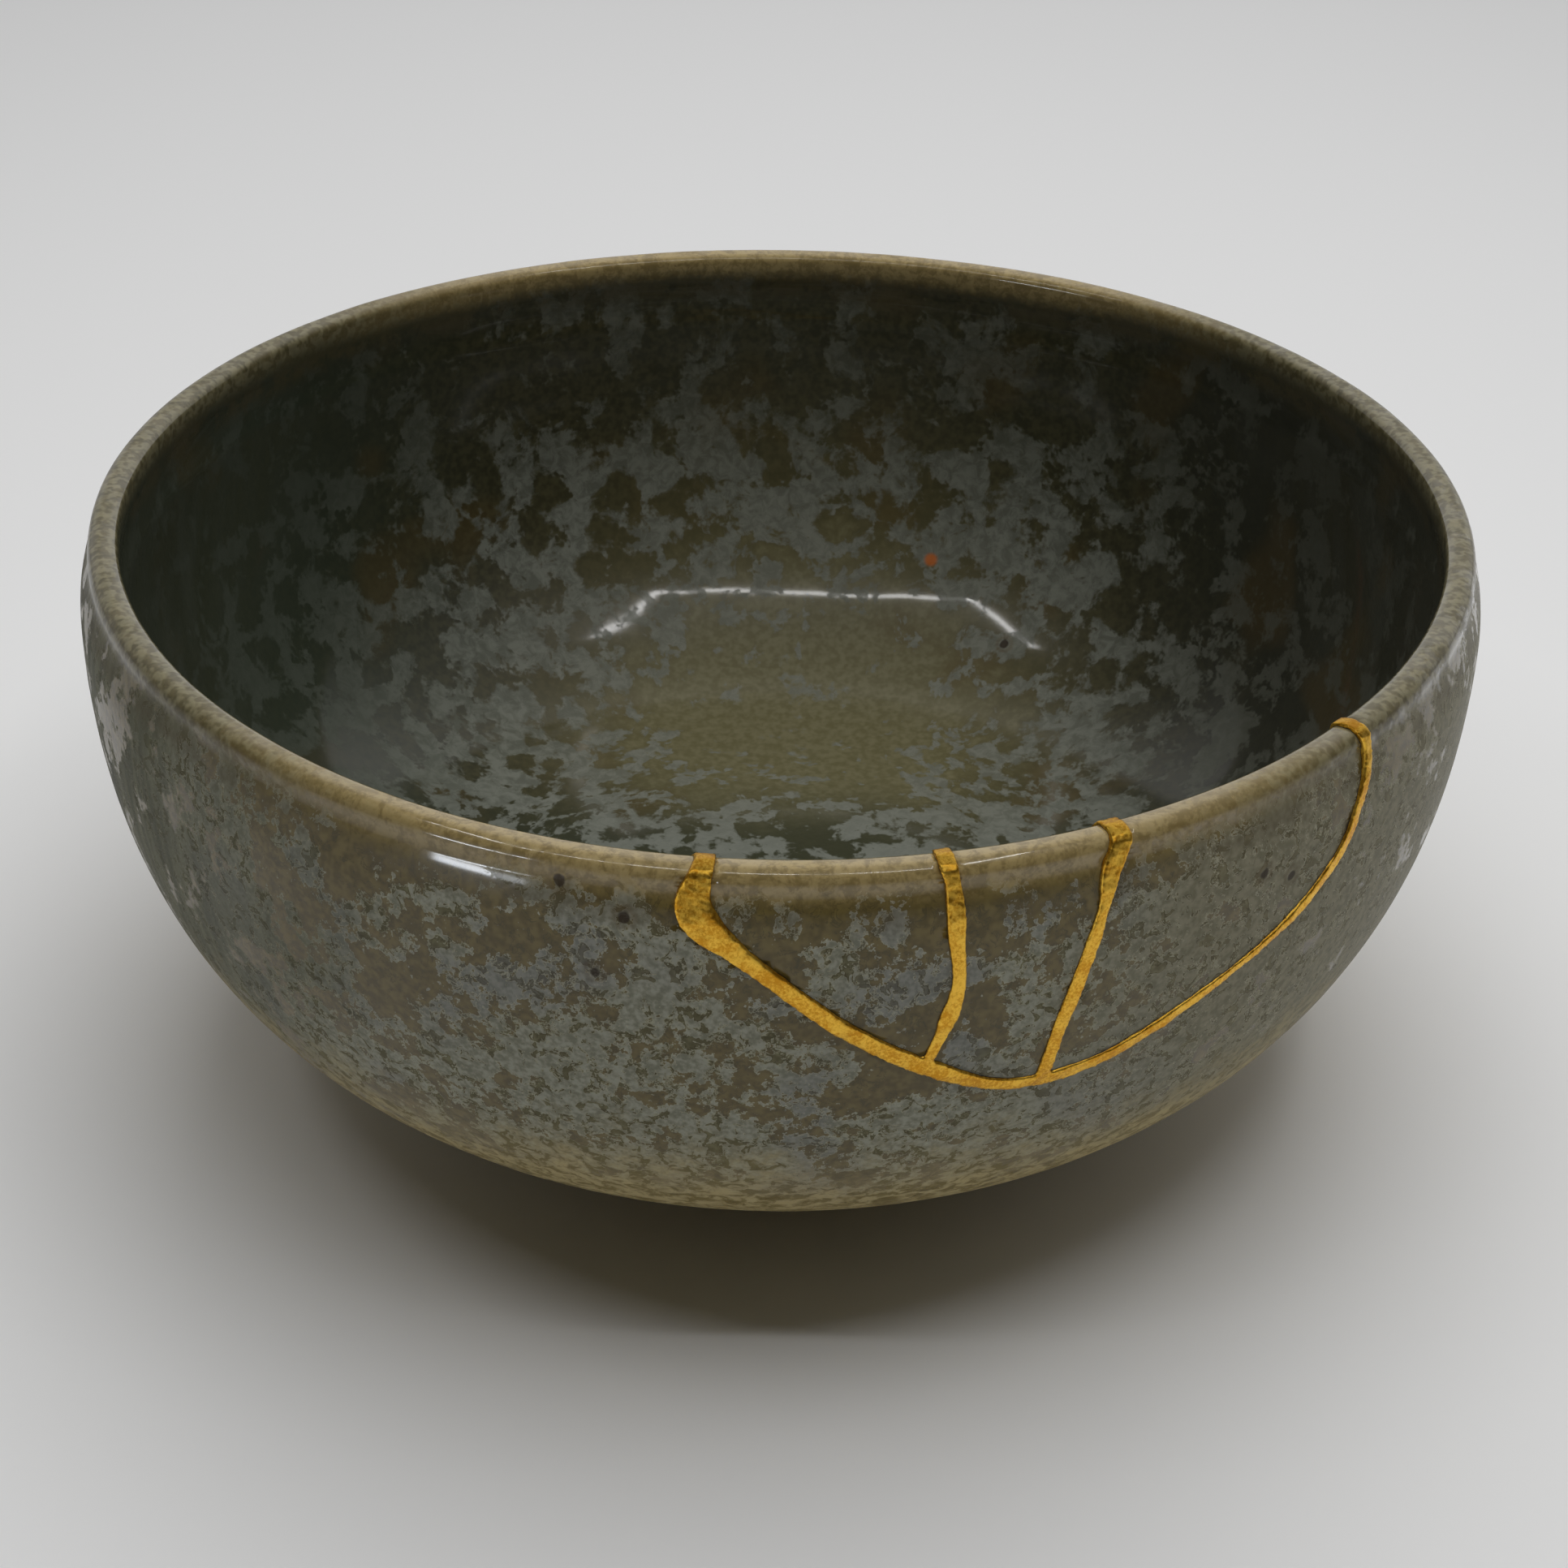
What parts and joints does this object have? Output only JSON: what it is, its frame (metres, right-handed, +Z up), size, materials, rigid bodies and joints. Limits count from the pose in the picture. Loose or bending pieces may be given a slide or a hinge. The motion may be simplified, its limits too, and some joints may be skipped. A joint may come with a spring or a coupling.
{
  "type": "bowl",
  "caption": "Round hand-thrown stoneware bowl on a low foot ring, broken at the rim and mended with proud gold lacquer joints, for holding food or for show.",
  "frame": {"origin": "centre of the foot ring's underside, on the surface that the bowl stands on", "axes": "+Z up along the bowl's axis, -Y towards the viewer and the mended break, +X to the viewer's right"},
  "size_m": [0.16, 0.1603, 0.0693],
  "materials": {
    "stoneware_glaze": "satin",
    "gold_lacquer": "satin"
  },
  "bodies": {
    "root": {"bowl_body": "stoneware_glaze", "rim_sherd_left": "stoneware_glaze", "rim_sherd_middle": "stoneware_glaze", "rim_sherd_right": "stoneware_glaze", "gold_seam": "gold_lacquer"}
  },
  "joints": []
}
